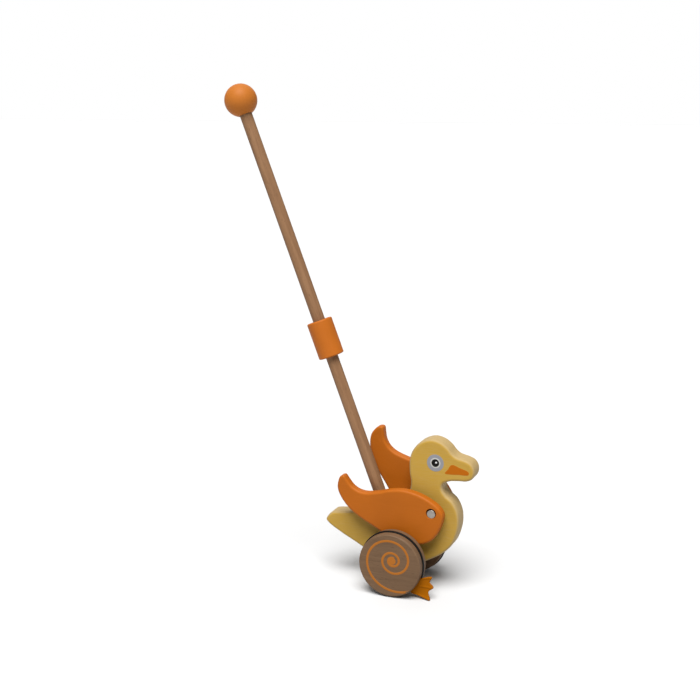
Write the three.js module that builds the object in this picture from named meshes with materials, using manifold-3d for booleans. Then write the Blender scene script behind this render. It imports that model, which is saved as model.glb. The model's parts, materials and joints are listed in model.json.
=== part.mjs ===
// Push-along wooden duck on a long stick. Millimetres, +X the way the duck faces, +Z up.
// The floor is Z = 0 and the origin lies under the middle of the toy's outer box.
import * as THREE from 'three';
import { mergeVertices } from 'three/addons/utils/BufferGeometryUtils.js';
import { TessellateModifier } from 'three/addons/modifiers/TessellateModifier.js';
import Module from 'manifold-3d';

const wasm = await Module();
wasm.setup();

// ---------- driving dimensions ----------
const TYRE_RADIUS = 33.1;             // the rubber band, which stands proud of the wheel's rim
const WHEEL_RADIUS = 32;
const AXLE_X = 59.25;                 // axle ahead of the origin
const AXLE_Z = TYRE_RADIUS;

const BODY_THICKNESS = 20;
const BODY_EDGE_RADIUS = 3;

const WING_INNER_Y = 15;              // gap of 5 from body side to wing
const WING_THICKNESS = 10;
const WING_EDGE_RADIUS = 2.5;
const WING_LIFT = 30;                 // degrees between a lowered and a raised wing
const PIVOT = { x: 35.6, z: 51.4 };   // wing pivot, measured from the axle

const SCREW_SHANK_RADIUS = 2.3;
const SCREW_HEAD_RADIUS = 4.3;
const COUNTERBORE = { radius: 5.1, depth: 5, rise: 0.5 }; // its centre lies a little above the screw
const HEAD_SINK = 2;                  // head sits this far below the wing's face

const AXLE_RADIUS = 4;
const AXLE_HALF_LENGTH = 38;
const WHEEL_INNER_Y = 26.5;
const WHEEL_OUTER_Y = 44.8;
const WHEEL_BORE_END_Y = 38.5;
const GROOVE = { inner: 34.2, outer: 37.3, bottom: 29.5 };
const CAM_RADIUS = 12.5;
const CAM_THROW = 5;                  // offset of the cam disc from the axle

const STICK_LEAN = 21.1;              // degrees back from upright
const STICK_RADIUS = 6.25;
const STICK_ROOT = { x: -12.5, z: 22 }; // bottom of the socket, from the axle
const SLEEVE_AT = 204.6;              // sleeve's centre, along the stick
const SLEEVE = { length: 38, radius: 13, edge: 1.5 };
const BALL_AT = 455.2;
const BALL_RADIUS = 16.4;

const FIT = 0.2;                      // radial clearance round a fitted round piece
const FOOT_THICKNESS = 2.8;
const FOOT_ANGLE = -38;               // degrees, where the foot leaves the wheel's rim
const FOOT_PLANE_Y = 35.05;           // middle of the foot's thickness

// ---------- materials ----------
const finish = (color, roughness, metalness = 0) =>
  new THREE.MeshStandardMaterial({ color, roughness, metalness });
const YELLOW_PAINT = finish(0xc49a4a, 0.5);
const ORANGE_PAINT = finish(0xc46a20, 0.45);
const AMBER_PAINT = finish(0xc0741c, 0.45);
const BEECH = finish(0xa98a66, 0.6);
const WALNUT_STAIN = finish(0x7a5c42, 0.6);
const BLACK_RUBBER = finish(0x1c1b1a, 0.8);
const AMBER_RUBBER = finish(0xb86a10, 0.65);
const STEEL = finish(0xb8bcc0, 0.35, 1);

// ---------- solids ----------
function solid(geometry) {
  const bare = geometry.clone();
  bare.deleteAttribute('normal');
  bare.deleteAttribute('uv');
  const merged = mergeVertices(bare, 1e-4);
  const corners = merged.index.array;
  const triangles = [];
  for (let i = 0; i < corners.length; i += 3) {
    const [a, b, c] = corners.slice(i, i + 3);
    if (a !== b && b !== c && c !== a) triangles.push(a, b, c);
  }
  return new wasm.Manifold(new wasm.Mesh({
    numProp: 3,
    vertProperties: new Float32Array(merged.attributes.position.array),
    triVerts: new Uint32Array(triangles),
  }));
}

function geometryOf(manifold) {
  const mesh = manifold.getMesh();
  const geometry = new THREE.BufferGeometry();
  geometry.setAttribute('position', new THREE.BufferAttribute(new Float32Array(mesh.vertProperties), 3));
  geometry.setIndex(new THREE.BufferAttribute(new Uint32Array(mesh.triVerts), 1));
  return geometry;
}

const cut = (geometry, ...tools) =>
  geometryOf(tools.reduce((rest, tool) => rest.subtract(solid(tool)), solid(geometry)));

// A round bar between two points.
function bar(from, to, radius, segments = 32) {
  const span = new THREE.Vector3().subVectors(to, from);
  const turn = new THREE.Quaternion().setFromUnitVectors(new THREE.Vector3(0, 1, 0), span.clone().normalize());
  return new THREE.CylinderGeometry(radius, radius, span.length(), segments)
    .translate(0, span.length() / 2, 0)
    .applyQuaternion(turn)
    .translate(from.x, from.y, from.z);
}

// A bar across the toy, at (x, z), from y0 to y1.
const crossBar = (x, z, y0, y1, radius, segments = 32) =>
  bar(new THREE.Vector3(x, Math.min(y0, y1), z), new THREE.Vector3(x, Math.max(y0, y1), z), radius, segments);

// A flat board whose outline lies in the XZ plane, with rounded edges on both faces.
function board(shape, y0, y1, edgeRadius = 0, curveSegments = 3) {
  const options = { depth: y1 - y0, bevelEnabled: false, curveSegments };
  if (edgeRadius > 0) {
    Object.assign(options, {
      depth: y1 - y0 - 2 * edgeRadius, bevelEnabled: true, bevelSegments: 3,
      bevelThickness: edgeRadius, bevelSize: edgeRadius, bevelOffset: -edgeRadius,
    });
  }
  return new THREE.ExtrudeGeometry(shape, options)
    .rotateX(Math.PI / 2)
    .translate(0, y1 - edgeRadius, 0);
}

// A smooth closed outline through the given points.
function outline(points, steps) {
  const curve = new THREE.CatmullRomCurve3(points.map(([x, z]) => new THREE.Vector3(x, z, 0)), true, 'centripetal');
  return new THREE.Shape(curve.getSpacedPoints(steps).slice(0, -1).map((p) => new THREE.Vector2(p.x, p.y)));
}

const round = (profile, segments = 64) =>
  new THREE.LatheGeometry(profile.map(([radius, y]) => new THREE.Vector2(radius, y)), segments);

// Quarter-circle corner of a lathe profile, centred on (radius, y), between two angles in degrees.
function corner(radius, y, size, from, to, steps = 4) {
  return Array.from({ length: steps + 1 }, (_, i) => {
    const angle = THREE.MathUtils.degToRad(from + ((to - from) * i) / steps);
    return [radius + size * Math.cos(angle), y + size * Math.sin(angle)];
  });
}

function piece(name, geometry, material) {
  const mesh = new THREE.Mesh(geometry, material);
  mesh.name = name;
  return mesh;
}

// ---------- stick ----------
const leanAngle = THREE.MathUtils.degToRad(STICK_LEAN);
const alongStick = (distance) => new THREE.Vector3(
  STICK_ROOT.x - distance * Math.sin(leanAngle), 0, STICK_ROOT.z + distance * Math.cos(leanAngle));

// Carries a lathed piece, made about the Y axis, to its place on the stick.
const ontoStick = (geometry, distance) => geometry
  .rotateX(Math.PI / 2)
  .rotateY(-leanAngle)
  .translate(...alongStick(distance).toArray());

function stick() {
  const boreRadius = STICK_RADIUS + FIT;
  const half = SLEEVE.length / 2;
  const sleeve = round([
    [boreRadius, -half],
    ...corner(SLEEVE.radius - SLEEVE.edge, SLEEVE.edge - half, SLEEVE.edge, -90, 0),
    ...corner(SLEEVE.radius - SLEEVE.edge, half - SLEEVE.edge, SLEEVE.edge, 0, 90),
    [boreRadius, half],
    [boreRadius, -half],
  ], 40);
  const seat = BALL_AT - 5;
  const ball = cut(
    ontoStick(new THREE.SphereGeometry(BALL_RADIUS, 28, 16), BALL_AT),
    bar(alongStick(seat), alongStick(BALL_AT - BALL_RADIUS - 5), boreRadius));
  return [
    piece('lower_rod', bar(alongStick(0.3), alongStick(SLEEVE_AT - 0.2), STICK_RADIUS), BEECH),
    piece('upper_rod', bar(alongStick(SLEEVE_AT + 0.2), alongStick(seat - 0.3), STICK_RADIUS), BEECH),
    piece('stick_sleeve', ontoStick(sleeve, SLEEVE_AT), ORANGE_PAINT),
    piece('handle_ball', ball, AMBER_PAINT),
  ];
}

// ---------- duck body: one board with a head, chest, belly and tail ----------
const BODY_OUTLINE = [
  [9, 76], [7.5, 86], [7.4, 98.5], [10, 108], [16.5, 116.7], [23, 120.7], [30.5, 122.5], [39.5, 120.6],
  [47.2, 115.1], [51, 110.6], [55.5, 107.3], [64.4, 105], [70.3, 102.3], [73.9, 97.2], [74.2, 91],
  [71.4, 86], [66, 83.4], [58, 82.8], [48.5, 81.4], [42.4, 78], [41.6, 72.8], [45, 67.3],
  [52.8, 60.6], [58, 50.6], [59.3, 40], [57.8, 29.5], [53, 17], [44.4, 7.2], [33, -0.6],
  [17, -8], [0, -11.3], [-17, -10], [-33, -4], [-50, 5], [-66, 13.2], [-78.8, 21.1],
  [-82.3, 25.2], [-80.3, 29.6], [-75.6, 34], [-70, 35.2], [-56, 37], [-38, 42.5], [-20, 51],
  [-2, 58.5], [7, 66],
];

function duckBody() {
  const half = BODY_THICKNESS / 2;
  const blank = board(outline(BODY_OUTLINE, 104), -half, half, BODY_EDGE_RADIUS);
  return piece('duck_body', cut(blank,
    crossBar(0, 0, -half - 1, half + 1, AXLE_RADIUS + 0.3),
    crossBar(PIVOT.x, PIVOT.z, -half - 1, half + 1, SCREW_SHANK_RADIUS + FIT, 24),
    bar(alongStick(0), alongStick(60), STICK_RADIUS + FIT)), YELLOW_PAINT);
}

// ---------- wings: outline measured from the pivot, wing lowered ----------
const WING_OUTLINE = [
  [-92.3, 28.5], [-96.2, 26.9], [-98.4, 21.9], [-99.1, 15.1], [-97, 8.5], [-92.1, 0.8], [-84.5, -7],
  [-73.4, -14.3], [-60.5, -21], [-46, -28.5], [-32, -32.4], [-19, -33.9], [-8.5, -32.5],
  [0.5, -27.7], [7, -19.1], [11.2, -8.1], [12, -0.7], [8.7, 5.6], [1, 11.5], [-12, 17.5],
  [-28, 20.6], [-43, 19.1], [-56, 15.5], [-69, 13.4], [-77, 14.6], [-83.6, 18.5], [-88.4, 24.1],
];

// side is -1 for the duck's right-hand wing and +1 for its left-hand wing.
function wingSet(side, label, lift) {
  const inner = side * WING_INNER_Y;
  const outer = side * (WING_INNER_Y + WING_THICKNESS);
  const shoulder = outer - side * COUNTERBORE.depth;
  const headTop = outer - side * HEAD_SINK;
  const headBottom = shoulder + side * 0.2;
  const half = BODY_THICKNESS / 2;

  const blank = board(outline(WING_OUTLINE, 72), Math.min(inner, outer), Math.max(inner, outer), WING_EDGE_RADIUS);
  const wing = piece(`${label}_wing`, cut(blank,
    crossBar(0, 0, inner - side, outer + side, SCREW_SHANK_RADIUS + 0.4, 24),
    crossBar(0, COUNTERBORE.rise, shoulder, outer + side, COUNTERBORE.radius)), ORANGE_PAINT);
  wing.rotation.y = THREE.MathUtils.degToRad(lift);

  const headHeight = Math.abs(headTop - headBottom);
  const screw = round([
    [0, -headHeight - 18.5], [SCREW_SHANK_RADIUS - 1, -headHeight - 18.5],
    [SCREW_SHANK_RADIUS, -headHeight - 17.5], [SCREW_SHANK_RADIUS, -headHeight],
    [SCREW_HEAD_RADIUS, -headHeight], [SCREW_HEAD_RADIUS, -0.9], [SCREW_HEAD_RADIUS - 0.5, -0.3],
    [SCREW_HEAD_RADIUS - 1.6, 0], [0, 0],
  ], 24);
  const slot = new THREE.BoxGeometry(SCREW_HEAD_RADIUS * 3, 2, 1).translate(0, 0.1, 0);
  const screwGeometry = cut(screw, slot);
  if (side < 0) screwGeometry.rotateX(Math.PI);
  screwGeometry.translate(0, headTop, 0);

  const spacerBore = SCREW_SHANK_RADIUS + FIT;
  const spacer = round([
    [spacerBore, half + 0.2], [7, half + 0.2], [7, WING_INNER_Y - 0.2], [spacerBore, WING_INNER_Y - 0.2],
    [spacerBore, half + 0.2],
  ], 32);
  if (side < 0) spacer.rotateX(Math.PI);

  const group = new THREE.Group();
  group.position.set(PIVOT.x, 0, PIVOT.z);
  group.add(wing, piece(`${label}_wing_screw`, screwGeometry, STEEL),
    piece(`${label}_wing_spacer`, spacer, BEECH));
  return group;
}

// ---------- wheels, cams and feet: the left set is half a turn round from the right one ----------
const footDirection = THREE.MathUtils.degToRad(FOOT_ANGLE);

// A point of the foot's tongue: distance out from the axle, and distance along the rim.
const onTongue = (out, along) => new THREE.Vector2(
  out * Math.cos(footDirection) - along * Math.sin(footDirection),
  out * Math.sin(footDirection) + along * Math.cos(footDirection));

// Webbed foot with three toes on a tongue that goes into the wheel.
function footShape() {
  const shape = new THREE.Shape();
  const start = onTongue(20, -8);
  const shoulder = onTongue(20, 8);
  shape.moveTo(start.x, start.y);
  shape.lineTo(20.2, -28.2);
  shape.bezierCurveTo(26, -29.6, 32.4, -31.2, 38.6, -32.9);
  shape.bezierCurveTo(39.5, -33.1, 40.1, -32.6, 39.9, -31.7);
  shape.bezierCurveTo(39, -28.8, 37.9, -26.8, 37.6, -25.1);
  shape.bezierCurveTo(38.3, -23.2, 40.8, -21.9, 42.1, -20.9);
  shape.bezierCurveTo(42.8, -20.2, 42.7, -18.9, 42, -18.2);
  shape.bezierCurveTo(40.9, -16.9, 39, -15.8, 38.8, -14.2);
  shape.bezierCurveTo(38.9, -12.8, 40.3, -11.7, 40.9, -10.4);
  shape.bezierCurveTo(41.2, -9.3, 40.6, -8.7, 39.8, -8.8);
  shape.bezierCurveTo(36.5, -9.6, 33, -10.8, 29.8, -11.6);
  shape.lineTo(shoulder.x, shoulder.y);
  return shape;
}

// Bends the web outwards below the rim, where its lowest toe meets the floor.
function bendFoot(geometry, side) {
  const bendRadius = 42;
  const lineStart = 34;
  const towards = THREE.MathUtils.degToRad(-60);
  const position = geometry.attributes.position;
  const point = new THREE.Vector3();
  for (let i = 0; i < position.count; i += 1) {
    point.fromBufferAttribute(position, i);
    const reach = point.x * Math.cos(towards) + point.z * Math.sin(towards);
    if (reach > lineStart) {
      const angle = (reach - lineStart) / bendRadius;
      const height = (point.y - side * FOOT_PLANE_Y) * side;
      const bent = lineStart + (bendRadius - height) * Math.sin(angle);
      const lift = bendRadius - (bendRadius - height) * Math.cos(angle);
      point.x += (bent - reach) * Math.cos(towards);
      point.z += (bent - reach) * Math.sin(towards);
      point.y = side * (FOOT_PLANE_Y + lift);
      position.setXYZ(i, point.x, point.y, point.z);
    }
  }
  return geometry;
}

const PIN_PLACES = [onTongue(24, -4.5), onTongue(24, 4.5)];
const PIN = { radius: 0.9, headRadius: 2, headHeight: 0.7, end: 40 };

function wheelBlank() {
  const edge = 1.5;
  const backEdge = 1.5;
  const R = WHEEL_RADIUS;
  return round([
    [0, WHEEL_INNER_Y],
    ...corner(R - backEdge, WHEEL_INNER_Y + backEdge, backEdge, -90, 0, 2),
    [R, GROOVE.inner], [GROOVE.bottom, GROOVE.inner], [GROOVE.bottom, GROOVE.outer], [R, GROOVE.outer],
    ...corner(R - edge, WHEEL_OUTER_Y - edge, edge, 0, 90, 3),
    [0, WHEEL_OUTER_Y],
  ]);
}

// One side's wheel set. Everything is modelled about the axle, at positive Y for side +1.
function wheelSet(side, label) {
  const facing = (geometry) => (side < 0 ? geometry.rotateX(Math.PI) : geometry);
  // The left-hand foot is half a turn round from the right-hand one.
  const phase = side < 0 ? 0 : Math.PI;
  const tongueSlot = board(new THREE.Shape([
    onTongue(19.7, -8.5), onTongue(36, -10.2), onTongue(36, 10.2), onTongue(19.7, 8.5),
  ]), -1.6, 1.6).translate(0, side * FOOT_PLANE_Y, 0);
  const pinHoles = PIN_PLACES.flatMap(({ x, y: z }) => [
    crossBar(x, z, side * (WHEEL_INNER_Y - 1), side * (PIN.end + 0.3), PIN.radius + FIT, 12),
    crossBar(x, z, side * (WHEEL_INNER_Y - 1), side * (WHEEL_INNER_Y + 1), PIN.headRadius + FIT, 16),
  ]);
  const wheel = cut(facing(wheelBlank()),
    crossBar(0, 0, side * (WHEEL_INNER_Y - 1), side * WHEEL_BORE_END_Y, AXLE_RADIUS + FIT),
    tongueSlot, ...pinHoles);

  const bandInner = GROOVE.inner + 0.25;
  const bandOuter = GROOVE.outer - 0.25;
  const bevel = 0.6;
  const bandGap = board(new THREE.Shape([
    new THREE.Vector2(0, 0), onTongue(60, -24), onTongue(60, 21),
  ]), -4, 4).translate(0, side * FOOT_PLANE_Y, 0);
  const band = cut(facing(round([
    [GROOVE.bottom + FIT, bandInner], [TYRE_RADIUS - bevel, bandInner], [TYRE_RADIUS, bandInner + bevel],
    [TYRE_RADIUS, bandOuter - bevel], [TYRE_RADIUS - bevel, bandOuter], [GROOVE.bottom + FIT, bandOuter],
    [GROOVE.bottom + FIT, bandInner],
  ], 64)), bandGap);

  const half = FOOT_THICKNESS / 2;
  const flatFoot = cut(
    board(footShape(), -half, half).translate(0, side * FOOT_PLANE_Y, 0),
    ...PIN_PLACES.map(({ x, y: z }) => crossBar(x, z, side * 20, side * 50, PIN.radius + FIT, 12)));
  const foot = bendFoot(new TessellateModifier(7, 12).modify(flatFoot), side);

  const pins = PIN_PLACES.map(({ x, y: z }, i) => piece(`${label}_foot_pin_${i + 1}`, facing(round([
    [0, WHEEL_INNER_Y + 0.1], [PIN.headRadius, WHEEL_INNER_Y + 0.1],
    [PIN.headRadius, WHEEL_INNER_Y + 0.1 + PIN.headHeight], [PIN.radius, WHEEL_INNER_Y + 0.1 + PIN.headHeight],
    [PIN.radius, PIN.end - 1.5], [0, PIN.end],
  ], 12)).translate(x, 0, z), STEEL));

  const camInner = BODY_THICKNESS / 2 + 0.6;
  const camOuter = WHEEL_INNER_Y - 0.4;
  const cam = cut(
    crossBar(0, -CAM_THROW, side * camInner, side * camOuter, CAM_RADIUS, 48),
    crossBar(0, 0, side * (camInner - 1), side * (camOuter + 1), AXLE_RADIUS + FIT));

  const group = new THREE.Group();
  group.rotation.y = phase;
  group.add(piece(`${label}_wheel`, wheel, WALNUT_STAIN), piece(`${label}_tyre_band`, band, BLACK_RUBBER),
    piece(`${label}_foot`, foot, AMBER_RUBBER), piece(`${label}_cam`, cam, BEECH), ...pins);
  return group;
}

// ---------- assembly ----------
const toy = new THREE.Group();
toy.name = 'push_along_duck';
toy.position.set(AXLE_X, 0, AXLE_Z);
toy.add(
  duckBody(),
  ...stick(),
  wingSet(-1, 'right', 0),
  wingSet(1, 'left', WING_LIFT),
  piece('axle', crossBar(0, 0, -AXLE_HALF_LENGTH, AXLE_HALF_LENGTH, AXLE_RADIUS), BEECH),
  wheelSet(-1, 'right'),
  wheelSet(1, 'left'),
);

export default toy;
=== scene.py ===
"""Push-along wooden duck: the visible surfaces, materials, floor, lights and camera.

Shapes are written in millimetres about the axle (x forward, z up) and placed from the frame.
"""
import json
import math

import bmesh
import bpy
import numpy as np
from mathutils import Matrix, Vector


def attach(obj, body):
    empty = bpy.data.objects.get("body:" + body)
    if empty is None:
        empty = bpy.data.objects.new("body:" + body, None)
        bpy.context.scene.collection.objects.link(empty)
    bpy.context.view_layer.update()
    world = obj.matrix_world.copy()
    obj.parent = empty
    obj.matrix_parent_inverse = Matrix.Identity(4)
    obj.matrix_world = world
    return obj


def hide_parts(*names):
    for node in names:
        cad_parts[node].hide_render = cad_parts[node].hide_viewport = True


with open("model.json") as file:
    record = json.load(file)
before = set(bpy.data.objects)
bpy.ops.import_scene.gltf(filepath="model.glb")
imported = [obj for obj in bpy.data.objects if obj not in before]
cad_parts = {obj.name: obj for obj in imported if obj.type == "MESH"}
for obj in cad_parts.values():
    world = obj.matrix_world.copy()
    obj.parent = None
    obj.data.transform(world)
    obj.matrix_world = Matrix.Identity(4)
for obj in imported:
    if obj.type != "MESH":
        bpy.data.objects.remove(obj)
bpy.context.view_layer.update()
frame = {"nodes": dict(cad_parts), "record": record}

MM = 0.001
JOINTS = {joint["name"]: joint for joint in frame["record"]["behaviour"]["joints"]}
AXLE = Vector(JOINTS["axle_spin"]["pos_m"])
PIVOT = Vector(JOINTS["right_wing_flap"]["pos_m"])


# ---------------------------------------------------------------- mesh tools
def smooth_outline(points, count):
    """A closed centripetal Catmull-Rom curve through points, as count evenly spaced points."""
    p = np.array(points, float)
    dense = []
    for i in range(len(p)):
        p0, p1, p2, p3 = (p[(i + k) % len(p)] for k in (-1, 0, 1, 2))
        t0 = 0.0
        t1 = t0 + math.sqrt(np.linalg.norm(p1 - p0))
        t2 = t1 + math.sqrt(np.linalg.norm(p2 - p1))
        t3 = t2 + math.sqrt(np.linalg.norm(p3 - p2))
        t = np.linspace(t1, t2, 24, endpoint=False)[:, None]
        a1 = (t1 - t) / (t1 - t0) * p0 + (t - t0) / (t1 - t0) * p1
        a2 = (t2 - t) / (t2 - t1) * p1 + (t - t1) / (t2 - t1) * p2
        a3 = (t3 - t) / (t3 - t2) * p2 + (t - t2) / (t3 - t2) * p3
        b1 = (t2 - t) / (t2 - t0) * a1 + (t - t0) / (t2 - t0) * a2
        b2 = (t3 - t) / (t3 - t1) * a2 + (t - t1) / (t3 - t1) * a3
        dense.append((t2 - t) / (t2 - t1) * b1 + (t - t1) / (t2 - t1) * b2)
    return evenly(np.vstack(dense), count)


def evenly(points, count):
    """Resamples a closed run of points to count points at even spacing."""
    closed = np.vstack([points, points[:1]])
    along = np.concatenate([[0], np.cumsum(np.linalg.norm(np.diff(closed, axis=0), axis=1))])
    at = np.linspace(0, along[-1], count, endpoint=False)
    return np.column_stack([np.interp(at, along, closed[:, k]) for k in range(points.shape[1])])


def outward(points):
    """Unit normals of a closed outline, pointing out of it."""
    tangent = np.roll(points, -1, axis=0) - np.roll(points, 1, axis=0)
    normal = np.column_stack([tangent[:, 1], -tangent[:, 0]])
    normal /= np.linalg.norm(normal, axis=1)[:, None]
    x, z = points[:, 0], points[:, 1]
    area = np.sum(x * np.roll(z, -1) - np.roll(x, -1) * z)
    return normal if area > 0 else -normal


def new_object(name, vertices, faces, origin=(0, 0, 0), smooth=True):
    """An object from vertices in millimetres, at origin in metres."""
    mesh = bpy.data.meshes.new(name)
    mesh.from_pydata([tuple(c * MM for c in v) for v in vertices], [], faces)
    mesh.update()
    work = bmesh.new()
    work.from_mesh(mesh)
    bmesh.ops.recalc_face_normals(work, faces=work.faces)
    work.to_mesh(mesh)
    work.free()
    for polygon in mesh.polygons:
        polygon.use_smooth = smooth
    obj = bpy.data.objects.new(name, mesh)
    obj.location = origin
    bpy.context.scene.collection.objects.link(obj)
    return obj


def bake_modifiers(obj):
    """Replaces the object's mesh by what its modifiers make."""
    bpy.context.view_layer.update()
    evaluated = obj.evaluated_get(bpy.context.evaluated_depsgraph_get())
    mesh = bpy.data.meshes.new_from_object(evaluated)
    obj.modifiers.clear()
    obj.data = mesh


def cut(obj, *cutters):
    """Cuts the cutters out of obj and removes them."""
    for cutter in cutters:
        modifier = obj.modifiers.new("cut", "BOOLEAN")
        modifier.operation = "DIFFERENCE"
        modifier.solver = "EXACT"
        modifier.object = cutter
    bake_modifiers(obj)
    for cutter in cutters:
        bpy.data.objects.remove(cutter)


def even_normals(obj, angle=38):
    """Flat faces stay flat and rounded edges stay smooth."""
    mesh = obj.data
    work = bmesh.new()
    work.from_mesh(mesh)
    for edge in work.edges:
        edge.smooth = not (edge.is_manifold and edge.calc_face_angle(0) > math.radians(angle))
    for face in work.faces:
        face.smooth = True
    work.to_mesh(mesh)
    work.free()
    modifier = obj.modifiers.new("normals", "WEIGHTED_NORMAL")
    modifier.keep_sharp = True
    modifier.weight = 80
    bake_modifiers(obj)


def rounding_room(points, wanted):
    """The share of the wanted rounding that fits at each point of an outline: under 1 in tight corners."""
    count = len(points)
    ahead = np.roll(points, -3, axis=0) - points
    behind = points - np.roll(points, 3, axis=0)
    cross = behind[:, 0] * ahead[:, 1] - behind[:, 1] * ahead[:, 0]
    turn = np.abs(np.arctan2(cross, (behind * ahead).sum(axis=1)))
    step = (np.linalg.norm(ahead, axis=1) + np.linalg.norm(behind, axis=1)) / 2
    radius = step / np.maximum(turn, 1e-6)
    room = np.minimum(1.0, 0.8 * radius / wanted)
    reach = max(3, count // 70)
    room = np.min([np.roll(room, k) for k in range(-reach, reach + 1)], axis=0)
    return np.mean([np.roll(room, k) for k in range(-reach, reach + 1)], axis=0)


def ring_faces(first, second, count):
    """The faces between two closed rings of count vertices, which begin at first and at second."""
    faces = []
    for i in range(count):
        j = (i + 1) % count
        faces.append((first + i, first + j, second + j, second + i))
    return faces


def board(name, outline, y0, y1, radius, origin):
    """A board with the outline in the XZ plane, between y0 and y1, its edges rounded to radius."""
    steps, flat_ring = 7, 0.5
    normal = outward(outline) * rounding_room(outline, radius + flat_ring)[:, None]
    count = len(outline)
    arc = [math.radians(90 * k / steps) for k in range(steps + 1)]
    profile = [(radius + flat_ring, y0)]
    profile += [(radius * (1 - math.sin(a)), y0 + radius * (1 - math.cos(a))) for a in arc]
    profile += [(radius * (1 - math.sin(a)), y1 - radius * (1 - math.cos(a))) for a in reversed(arc)]
    profile += [(radius + flat_ring, y1)]
    vertices, faces = [], []
    for inset, y in profile:
        ring = outline - normal * inset
        vertices += [(x, y, z) for x, z in ring]
    for k in range(len(profile) - 1):
        faces += ring_faces(k * count, (k + 1) * count, count)
    last = (len(profile) - 1) * count
    faces.append(tuple(range(count)))
    faces.append(tuple(range(last, last + count)))
    return new_object(name, vertices, faces, origin)


def revolve(name, profile, origin=(0, 0, 0), turn=None, segments=96, closed=False):
    """Turns a profile of (radius, height) about the Y axis. turn is a matrix applied to the object."""
    vertices, faces, rings = [], [], []
    for radius, height in profile:
        if radius < 1e-6:
            rings.append([len(vertices)])
            vertices.append((0, height, 0))
        else:
            rings.append(list(range(len(vertices), len(vertices) + segments)))
            for i in range(segments):
                angle = 2 * math.pi * i / segments
                vertices.append((radius * math.cos(angle), height, radius * math.sin(angle)))
    pairs = list(zip(rings, rings[1:] + rings[:1])) if closed else list(zip(rings, rings[1:]))
    for a, b in pairs:
        for i in range(segments):
            j = (i + 1) % segments
            corners = [a[i % len(a)], a[j % len(a)], b[j % len(b)], b[i % len(b)]]
            unique = list(dict.fromkeys(corners))
            if len(unique) > 2:
                faces.append(tuple(unique))
    obj = new_object(name, vertices, faces, origin)
    if turn is not None:
        obj.matrix_world = Matrix.Translation(origin) @ turn
    return obj


def arc_points(radius, height, size, start, end, steps=6):
    """A rounded corner of a revolved profile, centred on (radius, height), angles in degrees."""
    angles = [math.radians(start + (end - start) * k / steps) for k in range(steps + 1)]
    return [(radius + size * math.cos(a), height + size * math.sin(a)) for a in angles]


def cross_bore(x, z, y0, y1, radius, origin, flare=0.0, mouth=0.0, segments=48):
    """A cutter along Y from y0 to y1. A flare rounds its mouth, where it leaves the face at y = mouth."""
    profile = [(0, y0), (radius, y0)]
    if flare:
        out = 1 if y1 > y0 else -1
        for turn in (math.radians(a) for a in range(0, 91, 15)):
            rise = flare * (1 - math.sin(turn))
            profile.append((radius + flare * (1 - math.cos(turn)), mouth - out * rise))
    profile += [(radius + flare, y1), (0, y1)]
    place = Vector(origin) + Vector((x * MM, 0, z * MM))
    return revolve("cutter", profile, place, segments=segments)


# ---------------------------------------------------------------- materials
class Nodes:
    """A small helper that builds a material's node graph."""

    def __init__(self, name):
        self.material = bpy.data.materials.new(name)
        self.material.use_nodes = True
        self.tree = self.material.node_tree
        self.shader = self.tree.nodes["Principled BSDF"]
        place = self.add("ShaderNodeTexCoord")
        self.point, self.facing = place.outputs["Object"], place.outputs["Normal"]

    def add(self, kind, **settings):
        node = self.tree.nodes.new(kind)
        for key, value in settings.items():
            setattr(node, key, value)
        return node

    def put(self, socket, value):
        if isinstance(value, bpy.types.NodeSocket):
            self.tree.links.new(value, socket)
        else:
            socket.default_value = value

    def set(self, **values):
        for key, value in values.items():
            self.put(self.shader.inputs[key.replace("_", " ")], value)

    def mapped(self, scale, shift=(0, 0, 0)):
        node = self.add("ShaderNodeMapping")
        self.put(node.inputs["Vector"], self.point)
        node.inputs["Scale"].default_value = scale
        node.inputs["Location"].default_value = shift
        return node.outputs["Vector"]

    def noise(self, vector, scale, detail, roughness, distortion=0.0):
        node = self.add("ShaderNodeTexNoise")
        self.put(node.inputs["Vector"], vector)
        settings = {"Scale": scale, "Detail": detail, "Roughness": roughness, "Distortion": distortion}
        for key, value in settings.items():
            node.inputs[key].default_value = value
        return node.outputs["Fac"]

    def ramp(self, value, low, high, a=0.0, b=1.0):
        """Maps low to high onto a to b, and holds a and b outside that range."""
        node = self.add("ShaderNodeMapRange", clamp=True)
        sockets = ("Value", "From Min", "From Max", "To Min", "To Max")
        for socket, item in zip(sockets, (value, low, high, a, b)):
            self.put(node.inputs[socket], item)
        return node.outputs["Result"]

    def absolute(self, value):
        node = self.add("ShaderNodeMath", operation="ABSOLUTE")
        self.put(node.inputs[0], value)
        return node.outputs[0]

    def mix(self, factor, a, b, blend="MIX"):
        node = self.add("ShaderNodeMix", data_type="RGBA", blend_type=blend)
        self.put(node.inputs["Factor"], factor)
        for socket, value in (("A", a), ("B", b)):
            target = [s for s in node.inputs if s.name == socket and s.type == "RGBA"][0]
            self.put(target, (*value, 1.0) if isinstance(value, tuple) else value)
        return [s for s in node.outputs if s.type == "RGBA"][0]

    def bump(self, height, distance, strength, below=None):
        node = self.add("ShaderNodeBump")
        self.put(node.inputs["Height"], height)
        node.inputs["Distance"].default_value = distance
        node.inputs["Strength"].default_value = strength
        if below is not None:
            self.put(node.inputs["Normal"], below)
        return node.outputs["Normal"]


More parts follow.
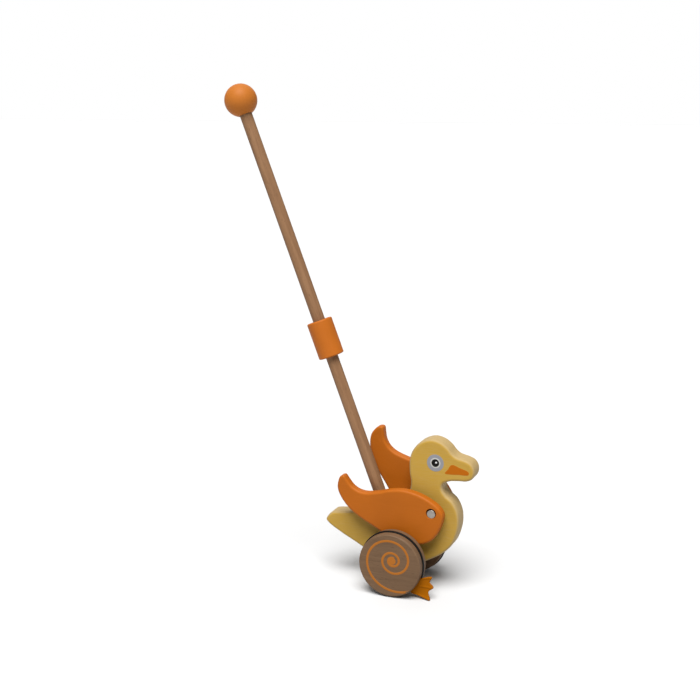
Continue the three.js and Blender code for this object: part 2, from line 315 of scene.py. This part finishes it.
def painted_wood(name, colour, grain=(1, 0, 0), edge=None):
    """Paint on sanded wood, with a little grain showing. A board's edges take the edge colour, if given:
    paler worn paint with a painted sheen.
    """
    m = Nodes(name)
    along = tuple(0.08 if axis else 1.0 for axis in grain)
    lines = m.noise(m.mapped(along), 900.0, 3.0, 0.6, 0.3)
    broad = m.noise(m.point, 28.0, 2.0, 0.5)
    peel = m.noise(m.point, 1400.0, 2.0, 0.5)
    deep = tuple(c * 0.90 for c in colour)
    pale = tuple(min(1.0, c * 1.05 + 0.004) for c in colour)
    base = m.mix(m.ramp(broad, 0.3, 0.7), deep, colour)
    if edge:
        across = m.add("ShaderNodeSeparateXYZ")
        m.put(across.inputs["Vector"], m.facing)
        # The rounded edges get paler, bluer paint: partly real wear, partly a painted sheen on the rims.
        on_edge = m.ramp(m.absolute(across.outputs["Y"]), 0.97, 0.72)
        worn_and_sheen = m.mix(m.ramp(lines, 0.4, 0.7), edge, tuple(c * 0.86 for c in edge))
        base = m.mix(on_edge, base, worn_and_sheen)
        pale = tuple(c * 1.08 for c in edge)
    base = m.mix(m.ramp(lines, 0.45, 0.75, 0.0, 0.35), base, pale)
    m.set(Base_Color=base, Roughness=m.ramp(lines, 0.2, 0.8, 0.45, 0.56),
          Specular_IOR_Level=0.12)
    normal = m.bump(lines, 0.00006, 0.6)
    m.put(m.shader.inputs["Normal"], m.bump(peel, 0.00003, 0.5, normal))
    return m.material


def beech(name, pale, dark, along):
    """Clear-finished beech. along is the grain direction, as a 0/1 vector in object space."""
    m = Nodes(name)
    stretch = tuple(0.06 if axis else 1.0 for axis in along)
    fleck = tuple(0.16 if axis else 1.0 for axis in along)
    rings = m.noise(m.mapped(stretch), 260.0, 5.0, 0.62, 0.8)
    fine = m.noise(m.mapped(stretch), 1500.0, 3.0, 0.6)
    flecks = m.noise(m.mapped(fleck, shift=(0.03, 0.01, 0.02)), 1250.0, 2.0, 0.5)
    blotch = m.noise(m.point, 22.0, 2.0, 0.5)
    base = m.mix(m.ramp(rings, 0.32, 0.68), dark, pale)
    base = m.mix(m.ramp(fine, 0.35, 0.75, 0.0, 0.35), base, dark)
    base = m.mix(m.ramp(flecks, 0.62, 0.72, 0.0, 0.55), base, tuple(c * 0.55 for c in dark))
    base = m.mix(m.ramp(blotch, 0.3, 0.7, 0.0, 0.25), base, pale)
    m.set(Base_Color=base, Roughness=m.ramp(fine, 0.2, 0.8, 0.48, 0.62),
          Specular_IOR_Level=0.15)
    normal = m.bump(fine, 0.00005, 0.5)
    m.put(m.shader.inputs["Normal"], m.bump(flecks, 0.00005, 0.5, normal))
    return m.material


def rubber(name, colour, gloss):
    """Matt rubber, a little cloudy, with fine pores."""
    m = Nodes(name)
    cloud = m.noise(m.point, 60.0, 3.0, 0.5)
    pores = m.noise(m.point, 1800.0, 3.0, 0.6)
    base = m.mix(m.ramp(cloud, 0.3, 0.7), tuple(c * 0.85 for c in colour), colour)
    m.set(Base_Color=base, Roughness=m.ramp(pores, 0.3, 0.7, 0.52, 0.68),
          Specular_IOR_Level=gloss)
    m.put(m.shader.inputs["Normal"], m.bump(pores, 0.00005, 0.6))
    return m.material


def steel(name):
    """Dull scuffed steel."""
    m = Nodes(name)
    scuff = m.noise(m.point, 900.0, 4.0, 0.7)
    m.set(Base_Color=m.mix(m.ramp(scuff, 0.3, 0.7), (0.30, 0.275, 0.25), (0.43, 0.40, 0.365)),
          Metallic=1.0, Roughness=m.ramp(scuff, 0.3, 0.7, 0.28, 0.48))
    m.put(m.shader.inputs["Normal"], m.bump(scuff, 0.00008, 0.5))
    return m.material


def flat_paint(name, colour, roughness=0.4):
    """Printed paint on the wood, such as the eye and the spiral."""
    m = Nodes(name)
    peel = m.noise(m.point, 1500.0, 3.0, 0.6)
    base = m.mix(m.ramp(peel, 0.3, 0.75, 0.0, 0.5), colour, tuple(c * 0.85 for c in colour))
    m.set(Base_Color=base, Roughness=m.ramp(peel, 0.2, 0.8, roughness - 0.05, roughness + 0.05),
          Specular_IOR_Level=0.08)
    m.put(m.shader.inputs["Normal"], m.bump(peel, 0.00003, 0.5))
    return m.material


# The edge colour is worn paler paint with a painted sheen on the body's rounded rims.
YELLOW = painted_wood("yellow_paint", (0.382, 0.231, 0.037), edge=(0.350, 0.245, 0.102))
ORANGE = painted_wood("orange_paint", (0.342, 0.088, 0.0045))
ORANGE_SLEEVE = painted_wood("sleeve_paint", (0.375, 0.101, 0.009), grain=(0, 1, 0))
ORANGE_BALL = painted_wood("ball_paint", (0.385, 0.120, 0.016), grain=(0, 0, 1))
BEECH_ROD = beech("beech_rod", (0.245, 0.133, 0.066), (0.160, 0.080, 0.038), along=(0, 1, 0))
BEECH_PLAIN = beech("beech_plain", (0.31, 0.20, 0.115), (0.22, 0.135, 0.075), along=(0, 1, 0))
BEECH_WHEEL = beech("beech_wheel", (0.142, 0.083, 0.045), (0.100, 0.057, 0.030), along=(1, 0, 0))
BLACK_BAND = rubber("black_rubber", (0.003, 0.003, 0.003), gloss=0.15)
AMBER_FOOT = rubber("amber_rubber", (0.275, 0.083, 0.0010), gloss=0.03)
STEEL = steel("pin_steel")
EYE_GREY = flat_paint("eye_grey", (0.212, 0.214, 0.234))
EYE_PALE = flat_paint("eye_pale", (0.40, 0.395, 0.37))
EYE_BLACK = flat_paint("eye_black", (0.004, 0.004, 0.004), 0.3)
EYE_WHITE = flat_paint("eye_white", (0.60, 0.60, 0.60), 0.3)
PRINT_ORANGE = flat_paint("print_orange", (0.31, 0.105, 0.015))
BILL_ORANGE = flat_paint("bill_orange", (0.355, 0.093, 0.002))


def finish_piece(obj, material, body, slot, *nodes):
    """Gives a piece its material and the body it rides on, and hides the CAD nodes it stands for. slot is not
    used.
    """
    obj.data.materials.clear()
    obj.data.materials.append(material)
    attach(obj, body)
    if nodes:
        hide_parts(*nodes)


# ---------------------------------------------------------------- stick
FIT = 0.2                   # radial room round a fitted round piece
STICK_LEAN = math.radians(21.1)
STICK_ROOT = Vector((-12.5, 0, 22))
STICK_RADIUS = 6.25
SLEEVE_AT, SLEEVE_LENGTH, SLEEVE_RADIUS = 204.6, 38.0, 13.0
BALL_AT, BALL_RADIUS, BALL_BORE_DEPTH = 455.2, 16.4, 5.0
STICK_TURN = Matrix.Rotation(-STICK_LEAN, 4, "Y") @ Matrix.Rotation(math.pi / 2, 4, "X")


def on_stick(distance):
    """The place in metres, this far up the stick from the bottom of its socket."""
    along = Vector((-math.sin(STICK_LEAN), 0, math.cos(STICK_LEAN)))
    return AXLE + (STICK_ROOT + along * distance) * MM


def rod(name, start, end, node):
    """A length of dowel with eased ends, from start to end up the stick."""
    length = end - start
    ease = 0.5
    profile = [(0, 0)] + arc_points(STICK_RADIUS - ease, ease, ease, -90, 0, 3)
    profile += [(STICK_RADIUS, length * k / 24) for k in range(1, 24)]
    profile += arc_points(STICK_RADIUS - ease, length - ease, ease, 0, 90, 3) + [(0, length)]
    obj = revolve(name, profile, on_stick(start), STICK_TURN, segments=64)
    even_normals(obj)
    finish_piece(obj, BEECH_ROD, "duck", "beech_rod", node)


def build_stick():
    """Two dowels joined by the sleeve, with the ball on top."""
    rod("lower_stick", 0.3, SLEEVE_AT - 0.2, "lower_rod")
    rod("upper_stick", SLEEVE_AT + 0.2, BALL_AT - BALL_BORE_DEPTH - 0.3, "upper_rod")

    half, edge, bore = SLEEVE_LENGTH / 2, 1.5, STICK_RADIUS + FIT
    profile = arc_points(SLEEVE_RADIUS - edge, edge - half, edge, -90, 0)
    profile += arc_points(SLEEVE_RADIUS - edge, half - edge, edge, 0, 90)
    profile += arc_points(bore + 0.5, half - 0.5, 0.5, 90, 180, 3)
    profile += arc_points(bore + 0.5, 0.5 - half, 0.5, 180, 270, 3)
    sleeve = revolve("sleeve", profile, on_stick(SLEEVE_AT), STICK_TURN, closed=True)
    even_normals(sleeve)
    finish_piece(sleeve, ORANGE_SLEEVE, "duck", "sleeve_paint", "stick_sleeve")

    lip = math.asin((bore + 0.6) / BALL_RADIUS)
    steps = 40
    profile = [(BALL_RADIUS * math.sin(a), BALL_RADIUS * math.cos(a))
               for a in (k * (math.pi - lip) / steps for k in range(steps + 1))]
    mouth = -BALL_RADIUS * math.cos(lip)
    profile += [(bore + 0.25, mouth + 0.1), (bore, mouth + 0.6)]
    profile += [(bore, -BALL_BORE_DEPTH), (0, -BALL_BORE_DEPTH)]
    ball = revolve("ball", profile)
    ball.data.transform(STICK_TURN)
    ball.location = on_stick(BALL_AT)
    even_normals(ball)
    finish_piece(ball, ORANGE_BALL, "duck", "ball_paint", "handle_ball")


# ---------------------------------------------------------------- duck body
BODY_HALF = 10.0
BODY_EDGE_RADIUS = 3.0
SOCKET_DEPTH = 60
BODY_AXLE_BORE, BODY_SCREW_BORE = 4.3, 2.5  # radii
BODY_OUTLINE = [
    (9, 76), (7.5, 86), (7.4, 98.5), (10, 108), (16.5, 116.7), (23, 120.7), (30.5, 122.5), (39.5, 120.6),
    (47.2, 115.1), (51, 110.6), (55.5, 107.3), (64.4, 105), (70.3, 102.3), (73.7, 97.2), (73.98, 91),
    (71.4, 86), (66, 83.4), (58, 82.8), (48.5, 81.4), (42.4, 78), (41.6, 72.8), (45, 67.3),
    (52.8, 60.6), (58, 50.6), (59.3, 40), (57.8, 29.5), (53, 17), (44.4, 7.2), (33, -0.6),
    (17, -8), (0, -11.3), (-17, -10), (-33, -4), (-50, 5), (-66, 13.2), (-78.8, 21.1),
    (-82.3, 25.2), (-80.3, 29.6), (-75.6, 34), (-70, 35.2), (-56, 37), (-38, 42.5), (-20, 51),
    (-2, 58.5), (7, 66),
]
EYE = (34.7, 99.3)
EYE_PARTS = [  # name, place from the eye's centre, radius, points round, height over the face, paint
    ("eye_ground", (0, 0), 8.6, 64, 0.10, EYE_GREY),
    ("eye_ring", (0, 0), 5.2, 64, 0.14, EYE_PALE),
    ("eye_pupil", (0, 0), 4.0, 48, 0.20, EYE_BLACK),
    ("eye_glint", (0.8, 0.5), 1.0, 32, 0.26, EYE_WHITE),
]
BILL_PATCH = [
    (44.6, 89.9), (47.5, 94), (51.4, 99.2), (60, 96.9), (68.6, 93.6), (68.4, 90.9), (58, 90), (50, 89.4),
]


def decal(name, outline, side, height, material, body="duck", slot="yellow_paint", base=BODY_HALF):
    """Paint on a flat side: a thin layer with a soft edge, standing height above the face at base."""
    normal = outward(outline)
    count = len(outline)
    layers = [(0.0, -0.05), (0.0, height * 0.6), (0.12, height), (0.6, height)]  # inset, rise
    vertices, faces = [], []
    for inset, rise in layers:
        ring = outline - normal * inset
        vertices += [(x, side * (base + rise), z) for x, z in ring]
    for k in range(len(layers) - 1):
        faces += ring_faces(k * count, (k + 1) * count, count)
    last = (len(layers) - 1) * count
    faces.append(tuple(range(last, last + count)))
    faces.append(tuple(range(count)))
    obj = new_object(name, vertices, faces, AXLE)
    even_normals(obj, 60)
    finish_piece(obj, material, body, slot)


def circle(x, z, radius, count):
    """A round outline of count points."""
    angles = [2 * math.pi * k / count for k in range(count)]
    return np.array([(x + radius * math.cos(a), z + radius * math.sin(a)) for a in angles])


def build_body():
    """The duck's board, with its socket and bores, and the paint on both sides of its head."""
    outline = smooth_outline(BODY_OUTLINE, 420)
    body = board("body", outline, -BODY_HALF, BODY_HALF, BODY_EDGE_RADIUS, AXLE)
    bore, past = STICK_RADIUS + FIT, BODY_HALF + 2
    socket = revolve("cutter", [(0, 0), (bore, 0), (bore, SOCKET_DEPTH), (0, SOCKET_DEPTH)],
                     on_stick(0), STICK_TURN, segments=48)
    pivot = (PIVOT - AXLE) / MM
    cut(body,
        socket,
        cross_bore(0, 0, -past, past, BODY_AXLE_BORE, AXLE),
        cross_bore(pivot.x, pivot.z, -past, past, BODY_SCREW_BORE, AXLE, segments=32))
    even_normals(body)
    finish_piece(body, YELLOW, "duck", "yellow_paint", "duck_body")

    for side, label in ((-1, "right"), (1, "left")):
        for part, (x, z), radius, count, height, paint in EYE_PARTS:
            decal(f"{label}_{part}", circle(EYE[0] + x, EYE[1] + z, radius, count), side, height, paint)
        decal(f"{label}_bill_patch", smooth_outline(BILL_PATCH, 96), side, 0.10, BILL_ORANGE)


# ---------------------------------------------------------------- wings
WING_INNER, WING_OUTER = 15.0, 25.0
WING_EDGE_RADIUS = 2.5
WING_LIFT = math.radians(30)
WING_SCREW_BORE = 2.7       # radius
COUNTERBORE_RADIUS, COUNTERBORE_DEPTH, COUNTERBORE_RISE = 5.1, 5, 0.5
HEAD_SINK, HEAD_DROP = 0.4, 0.2  # the screw head's place below the wing's face and below the pivot
WING_OUTLINE = [
    (-92.3, 28.5), (-96.2, 26.9), (-98.4, 21.9), (-99.1, 15.1), (-97, 8.5), (-92.1, 0.8), (-84.5, -7),
    (-73.4, -14.3), (-60.5, -21), (-46, -28.5), (-32, -32.4), (-19, -33.9), (-8.5, -32.5),
    (0.5, -27.7), (7, -19.1), (11.2, -8.1), (12, -0.7), (8.7, 5.6), (1, 11.5), (-12, 17.5),
    (-28, 20.6), (-43, 19.1), (-56, 15.5), (-69, 13.4), (-77, 14.6), (-83.6, 18.5), (-88.4, 24.1),
]


def build_wing(side, label, lift):
    """One wing on its pivot, turned by lift, and the screw that holds it."""
    inner, outer = side * WING_INNER, side * WING_OUTER
    outline = smooth_outline(WING_OUTLINE, 300)
    wing = board(f"{label}_wing_board", outline, *sorted((inner, outer)), WING_EDGE_RADIUS, PIVOT)
    shelf, past = outer - side * COUNTERBORE_DEPTH, outer + side
    cut(wing,
        cross_bore(0, 0, inner - side, past, WING_SCREW_BORE, PIVOT, segments=32),
        cross_bore(0, COUNTERBORE_RISE, shelf, past, COUNTERBORE_RADIUS, PIVOT, flare=0.4, mouth=outer))
    even_normals(wing)
    wing.rotation_euler = (0, lift, 0)
    finish_piece(wing, ORANGE, f"{label}_wing", "orange_paint", f"{label}_wing")

    shank, tip = 2.3, -22.1
    profile = [(0, tip), (shank - 1, tip), (shank, tip + 1), (shank, -4.4)]
    profile += arc_points(4.05, -4.1, 0.3, -90, 0, 3) + arc_points(3.85, -0.75, 0.5, 0, 90, 6)
    profile += [(3.2, -0.15), (2.0, -0.05), (0, 0)]
    turn = Matrix.Rotation(math.pi, 4, "X") if side < 0 else None
    top = PIVOT + Vector((0, outer - side * HEAD_SINK, -HEAD_DROP)) * MM
    pin = revolve(f"{label}_pin", profile, top, turn, segments=64)
    even_normals(pin)
    finish_piece(pin, STEEL, "duck", "screw_steel", f"{label}_wing_screw")


# ---------------------------------------------------------------- wheels
# WHEEL_OUTER leaves room for the paint on the wheel's face within the CAD's width.
TYRE_RADIUS, WHEEL_RADIUS, WHEEL_INNER, WHEEL_OUTER = 33.1, 32.0, 26.5, 44.68
GROOVE_INNER, GROOVE_OUTER, GROOVE_BOTTOM = 34.2, 37.3, 29.5
WHEEL_EDGE, WHEEL_BACK_EDGE = 1.5, 1.5  # radii
WHEEL_BORE_RADIUS, WHEEL_BORE_END = 4.2, 38.5
BAND_EDGE = 0.6
BAND_GAP = (math.radians(-22), math.radians(19.5))  # where the band leaves room, from the foot's angle
FOOT_PLANE = 35.05          # middle of the foot's thickness
FOOT_ANGLE = math.radians(-38)
SPIRAL_CENTRE = (3.0, 5.4)
# The spiral's radii, a quarter turn apart, and where they are, in quarter turns from straight down.
SPIRAL_RADII = [2.9, 3.4, 4.1, 5.1, 6.9, 8.1, 10.1, 12.5, 16.4, 19.9, 26.0, 31.0, 41.5]
SPIRAL_KNOTS = np.arange(len(SPIRAL_RADII)) - 3
SPIRAL_START, SPIRAL_END = -2.5, 8.36
SPIRAL_WIDTH = 2.4
SPIRAL_HEIGHT = 0.09        # of the paint
SPIRAL_MIDDLE = 3.7         # radius of the painted disc in the middle


def to_side(obj, side):
    """Places a piece made for the right wheel. A left one lies opposite it, through the axle's middle."""
    if side > 0:
        work = bmesh.new()
        work.from_mesh(obj.data)
        for vertex in work.verts:
            vertex.co.negate()
        bmesh.ops.reverse_faces(work, faces=work.faces)
        work.to_mesh(obj.data)
        work.free()
    obj.location = AXLE


def build_wheel(side, label):
    """One wheel: a grooved disc with a blind bore for the axle and a slot for the foot's tongue."""
    edge, back, ease = WHEEL_EDGE, WHEEL_BACK_EDGE, 0.3
    R = WHEEL_RADIUS
    profile = [(0, -WHEEL_INNER), (R - 8, -WHEEL_INNER)]
    profile += arc_points(R - back, -WHEEL_INNER - back, back, 90, 0)
    profile += arc_points(R - ease, -GROOVE_INNER + ease, ease, 0, -90, 3)
    profile += [(GROOVE_BOTTOM, -GROOVE_INNER), (GROOVE_BOTTOM, -GROOVE_OUTER)]
    profile += arc_points(R - ease, -GROOVE_OUTER - ease, ease, 90, 0, 3)
    profile += arc_points(R - edge, -WHEEL_OUTER + edge, edge, 0, -90, 8)
    profile += [(R - edge - 6, -WHEEL_OUTER), (0, -WHEEL_OUTER)]
    wheel = revolve(f"{label}_wheel_disc", profile, segments=160)
    bore = cross_bore(0, 0, -WHEEL_INNER + 1, -WHEEL_BORE_END, WHEEL_BORE_RADIUS, (0, 0, 0))
    cut(wheel, bore, tongue_slot())
    to_side(wheel, side)
    even_normals(wheel)
    finish_piece(wheel, BEECH_WHEEL, "wheel_set", "stained_wheel", f"{label}_wheel")

    place_spiral(side, label)
    place_band(side, label)


def on_tongue(out, along):
    """A point of the foot's tongue, from its distance out from the axle and its distance along the rim."""
    return (out * math.cos(FOOT_ANGLE) - along * math.sin(FOOT_ANGLE),
            out * math.sin(FOOT_ANGLE) + along * math.cos(FOOT_ANGLE))


def tongue_slot():
    """The cutter for the slot that takes the foot's tongue."""
    half = 1.6
    corners = [on_tongue(19.7, -8.5), on_tongue(36, -10.2), on_tongue(36, 10.2), on_tongue(19.7, 8.5)]
    vertices = [(x, y, z) for y in (-FOOT_PLANE - half, -FOOT_PLANE + half) for x, z in corners]
    faces = [(0, 1, 2, 3), (4, 5, 6, 7), (0, 1, 5, 4), (1, 2, 6, 5), (2, 3, 7, 6), (3, 0, 4, 7)]
    return new_object("cutter", vertices, faces, smooth=False)


def hermite(knots, values, at):
    """A smooth curve through values at evenly spaced knots."""
    slope = np.gradient(values)
    k = np.clip(np.floor(at - knots[0]).astype(int), 0, len(values) - 2)
    t = at - knots[0] - k
    return ((2 * t ** 3 - 3 * t ** 2 + 1) * values[k] + (t ** 3 - 2 * t ** 2 + t) * slope[k]
            + (3 * t ** 2 - 2 * t ** 3) * values[k + 1] + (t ** 3 - t ** 2) * slope[k + 1])


def place_spiral(side, label):
    """The painted spiral: a ribbon from the middle out to the rim, which follows the rounding of the edge."""
    steps = 420
    turns = np.linspace(SPIRAL_START, SPIRAL_END, steps + 1)
    radii = np.exp(hermite(SPIRAL_KNOTS, np.log(SPIRAL_RADII), turns))
    angles = (turns - 1) * math.pi / 2
    centre_x, centre_z = SPIRAL_CENTRE
    line = np.column_stack([centre_x + radii * np.cos(angles), centre_z + radii * np.sin(angles)])
    tangents = np.gradient(line, axis=0)
    normals = np.column_stack([tangents[:, 1], -tangents[:, 0]])
    normals /= np.linalg.norm(tangents, axis=1)[:, None]
    top, shoulder, foot = SPIRAL_HEIGHT, SPIRAL_HEIGHT * 0.7, -0.05
    section = ((-1, foot), (-0.95, shoulder), (-0.8, top), (0.8, top), (0.95, shoulder), (1, foot))
    flat = WHEEL_RADIUS - WHEEL_EDGE
    vertices, faces = [], []
    for k in range(steps + 1):
        half = SPIRAL_WIDTH / 2 * math.sin(min(1.0, (k + 2) / 14) * math.pi / 2)
        for across, rise in section:
            x, z = line[k] + normals[k] * across * half
            reach = math.hypot(x, z)
            drop = 0.0
            if reach > flat:
                over = min(reach - flat, WHEEL_EDGE * 0.96)
                drop = WHEEL_EDGE - math.sqrt(WHEEL_EDGE ** 2 - over ** 2)
                x, z = x * (flat + over) / reach, z * (flat + over) / reach
            vertices.append((x, -(WHEEL_OUTER + rise - drop), z))
    width = len(section)
    for k in range(steps):
        faces += ring_faces(k * width, (k + 1) * width, width)
    faces.append(tuple(range(width)))
    faces.append(tuple(range(len(vertices) - width, len(vertices))))
    ribbon = new_object(f"{label}_spiral", vertices, faces)
    to_side(ribbon, side)
    finish_piece(ribbon, PRINT_ORANGE, "wheel_set", "stained_wheel")

    middle = circle(-side * centre_x, -side * centre_z, SPIRAL_MIDDLE, 48)
    decal(f"{label}_spiral_middle", middle, side, 0.11, PRINT_ORANGE, "wheel_set", "stained_wheel",
          base=WHEEL_OUTER)


def place_band(side, label):
    """The rubber band lies in the groove and stops either side of the foot."""
    side_room, r = 0.25, BAND_EDGE
    inner, outer = -GROOVE_INNER - side_room, -GROOVE_OUTER + side_room
    low, high = GROOVE_BOTTOM + FIT, TYRE_RADIUS
    section = [(low, inner), (high - r, inner)]
    for turn in (math.radians(a) for a in (30, 60, 90)):
        section.append((high - r + r * math.sin(turn), inner - r + r * math.cos(turn)))
    for turn in (math.radians(a) for a in (0, 30, 60, 90)):
        section.append((high - r + r * math.cos(turn), outer + r - r * math.sin(turn)))
    section.append((low, outer))
    first, last = FOOT_ANGLE + BAND_GAP[1], FOOT_ANGLE + 2 * math.pi + BAND_GAP[0]
    steps = 140
    vertices, faces = [], []
    for k in range(steps + 1):
        angle = first + (last - first) * k / steps
        vertices += [(radius * math.cos(angle), y, radius * math.sin(angle)) for radius, y in section]
    count = len(section)
    for k in range(steps):
        faces += ring_faces(k * count, (k + 1) * count, count)
    faces += [tuple(range(count)), tuple(range(steps * count, steps * count + count))]
    band = new_object(f"{label}_band", vertices, faces)
    to_side(band, side)
    even_normals(band)
    finish_piece(band, BLACK_BAND, "wheel_set", "black_rubber", f"{label}_tyre_band")


# ---------------------------------------------------------------- feet
FOOT_THICKNESS = 2.8
TOE_LINE = [  # the web's outer edge, from the near toe round to the far toe
    (38.6, -32.9), (39.7, -32.9), (40.0, -31.9), (39.1, -29.2), (38.0, -26.9), (37.7, -25), (39.1, -22.9),
    (41.0, -21.6), (42.4, -20.4), (42.5, -18.9), (41.3, -17.3), (39.6, -15.9), (38.8, -14.3), (39.5, -12.6),
    (40.9, -10.6), (40.9, -9.1), (39.8, -8.8),
]
NEAR_EDGE = [
    (38.6, -32.9), (32.4, -31.1), (26, -29.5), (20.2, -28.2), on_tongue(26, -8.6), on_tongue(20, -8),
]
FAR_EDGE = [(39.8, -8.8), (36.5, -9.6), (33, -10.8), (29.8, -11.6), on_tongue(25, 8.5), on_tongue(20, 8)]
TOES = (0.06, 0.53, 0.95)   # where the toes' ribs run, as shares of the way across the web


def run(points, count):
    """count points spread evenly along an open, smoothed run of points."""
    p = np.array(points, float)
    padded = np.vstack([2 * p[0] - p[1], p, 2 * p[-1] - p[-2]])
    dense = []
    for i in range(1, len(padded) - 2):
        p0, p1, p2, p3 = padded[i - 1:i + 3]
        t = np.linspace(0, 1, 16, endpoint=False)[:, None]
        dense.append(0.5 * (2 * p1 + (p2 - p0) * t + (2 * p0 - 5 * p1 + 4 * p2 - p3) * t ** 2
                            + (3 * p1 - p0 - 3 * p2 + p3) * t ** 3))
    line = np.vstack(dense + [p[-1:]])
    along = np.concatenate([[0], np.cumsum(np.linalg.norm(np.diff(line, axis=0), axis=1))])
    at = np.linspace(0, along[-1], count)
    return np.column_stack([np.interp(at, along, line[:, k]) for k in range(2)])


def bend_foot(point):
    """The web bends outwards below the rim, where its lowest toe meets the floor."""
    x, y, z = point
    bend_radius, line, towards = 42.0, 34.0, math.radians(-60)
    reach = x * math.cos(towards) + z * math.sin(towards)
    if reach <= line:
        return point
    angle = (reach - line) / bend_radius
    height = -(y + FOOT_PLANE)
    bent = line + (bend_radius - height) * math.sin(angle)
    lift = bend_radius - (bend_radius - height) * math.cos(angle)
    slide = bent - reach
    return (x + slide * math.cos(towards), -(FOOT_PLANE + lift), z + slide * math.sin(towards))


def build_foot(side, label):
    """The webbed foot: a sheet from the tongue's root out to the toes, thicker along the toes."""
    across, deep = 73, 41
    tips = run(TOE_LINE, across)
    near, far = run(NEAR_EDGE, deep)[::-1], run(FAR_EDGE, deep)[::-1]
    root = np.array([on_tongue(20, -8 + 16 * k / (across - 1)) for k in range(across)])
    grid = np.zeros((deep, across, 2))
    for i in range(deep):
        u = i / (deep - 1)
        for j in range(across):
            v = j / (across - 1)
            edges = (1 - v) * near[i] + v * far[i]
            ends = (1 - u) * root[j] + u * tips[j]
            corners = ((1 - u) * ((1 - v) * root[0] + v * root[-1])
                       + u * ((1 - v) * tips[0] + v * tips[-1]))
            grid[i, j] = edges + ends - corners
    vertices, faces = [], []
    for face in (-1, 1):
        for i in range(deep):
            for j in range(across):
                u, v = i / (deep - 1), j / (across - 1)
                rib = max(math.exp(-((v - toe) / 0.045) ** 2) for toe in TOES)
                rib *= min(1.0, max(0.0, (u - 0.35) / 0.3))
                rim = min(1.0, min(j, across - 1 - j) / 2.0, (deep - 1 - i) / 2.0) if u > 0.3 else 1.0
                half = FOOT_THICKNESS / 2 * (0.72 + 0.28 * rib) * (0.62 + 0.38 * math.sqrt(rim))
                x, z = grid[i, j]
                vertices.append(bend_foot((x, -FOOT_PLANE + face * half, z)))
    size = deep * across
    for face in (0, 1):
        for i in range(deep - 1):
            for j in range(across - 1):
                a = face * size + i * across + j
                faces.append((a, a + 1, a + across + 1, a + across))
    border = (list(range(across)) + [i * across + across - 1 for i in range(1, deep)]
              + [(deep - 1) * across + j for j in range(across - 2, -1, -1)]
              + [i * across for i in range(deep - 2, 0, -1)])
    for a, b in zip(border, border[1:] + border[:1]):
        faces.append((a, b, b + size, a + size))
    foot = new_object(f"{label}_web_foot", vertices, faces)
    to_side(foot, side)
    even_normals(foot, 60)
    finish_piece(foot, AMBER_FOOT, "wheel_set", "foot_rubber", f"{label}_foot")


# ---------------------------------------------------------------- carried-over CAD pieces
def dress_cad():
    """The pieces that keep their CAD shape get wood and steel."""
    plain = ["axle", "right_cam", "left_cam", "right_wing_spacer", "left_wing_spacer"]
    pins = [f"{side}_foot_pin_{n}" for side in ("right", "left") for n in (1, 2)]
    for names, material in ((plain, BEECH_PLAIN), (pins, STEEL)):
        for name in names:
            for slot in frame["nodes"][name].material_slots:
                slot.material = material


# ---------------------------------------------------------------- floor, light, camera
def build_stage():
    """A wide sheet of matt paper on the floor."""
    size = 20.0
    corners = [(-size, -size, 0), (size, -size, 0), (size, size, 0), (-size, size, 0)]
    mesh = bpy.data.meshes.new("floor")
    mesh.from_pydata(corners, [], [(0, 1, 2, 3)])
    floor = bpy.data.objects.new("floor", mesh)
    bpy.context.scene.collection.objects.link(floor)
    paper = bpy.data.materials.new("floor_white")
    paper.use_nodes = True
    shader = paper.node_tree.nodes["Principled BSDF"]
    shader.inputs["Base Color"].default_value = (0.52, 0.52, 0.52, 1)
    shader.inputs["Roughness"].default_value = 0.9
    shader.inputs["Specular IOR Level"].default_value = 0.0
    mesh.materials.append(paper)


def build_sun(name, towards, width, energy):
    """A distant soft light. towards points from the floor to it, and width is in degrees."""
    data = bpy.data.lights.new(name, "SUN")
    data.angle = math.radians(width)
    data.energy = energy
    light = bpy.data.objects.new(name, data)
    light.rotation_euler = Vector(towards).to_track_quat("Z", "Y").to_euler()
    bpy.context.scene.collection.objects.link(light)


def build_light():
    """A weak white surround, which looks pure white behind the duck, a key light and a weaker one behind."""
    world = bpy.data.worlds.new("studio")
    bpy.context.scene.world = world
    world.use_nodes = True
    nodes, links = world.node_tree.nodes, world.node_tree.links
    lit = nodes["Background"]
    lit.inputs["Color"].default_value = (1, 1, 1, 1)
    lit.inputs["Strength"].default_value = 0.25
    seen = nodes.new("ShaderNodeBackground")
    seen.inputs["Color"].default_value = (1, 1, 1, 1)
    seen.inputs["Strength"].default_value = 1.0
    path, mix = nodes.new("ShaderNodeLightPath"), nodes.new("ShaderNodeMixShader")
    links.new(path.outputs["Is Camera Ray"], mix.inputs["Fac"])
    links.new(lit.outputs["Background"], mix.inputs[1])
    links.new(seen.outputs["Background"], mix.inputs[2])
    links.new(mix.outputs["Shader"], nodes["World Output"].inputs["Surface"])
    build_sun("key", (0.12, -0.50, 1.0), 42, 5.8)
    build_sun("back_fill", (-0.50, 1.0, 0.8), 80, 0.9)
    bpy.context.scene.view_settings.view_transform = "Standard"


def build_camera():
    """The camera stands in front of the duck's right side, a little above it."""
    azimuth, pitch = math.radians(22.1), math.radians(11.9)
    level = math.cos(pitch)
    forward = Vector((-math.sin(azimuth) * level, math.cos(azimuth) * level, -math.sin(pitch)))
    data = bpy.data.cameras.new("camera")
    data.sensor_width = 36.0
    data.lens = 61.7
    data.clip_end = 50.0
    camera = bpy.data.objects.new("camera", data)
    camera.location = AXLE + Vector((0.3810, -1.0849, 0.4497))
    camera.rotation_euler = forward.to_track_quat("-Z", "Y").to_euler()
    bpy.context.scene.collection.objects.link(camera)
    bpy.context.scene.camera = camera


build_camera()
build_stage()
build_light()
build_stick()
build_body()
build_wing(-1, "right", 0.0)
build_wing(1, "left", WING_LIFT)
for wheel_side, wheel_label in ((-1, "right"), (1, "left")):
    build_wheel(wheel_side, wheel_label)
    build_foot(wheel_side, wheel_label)
dress_cad()
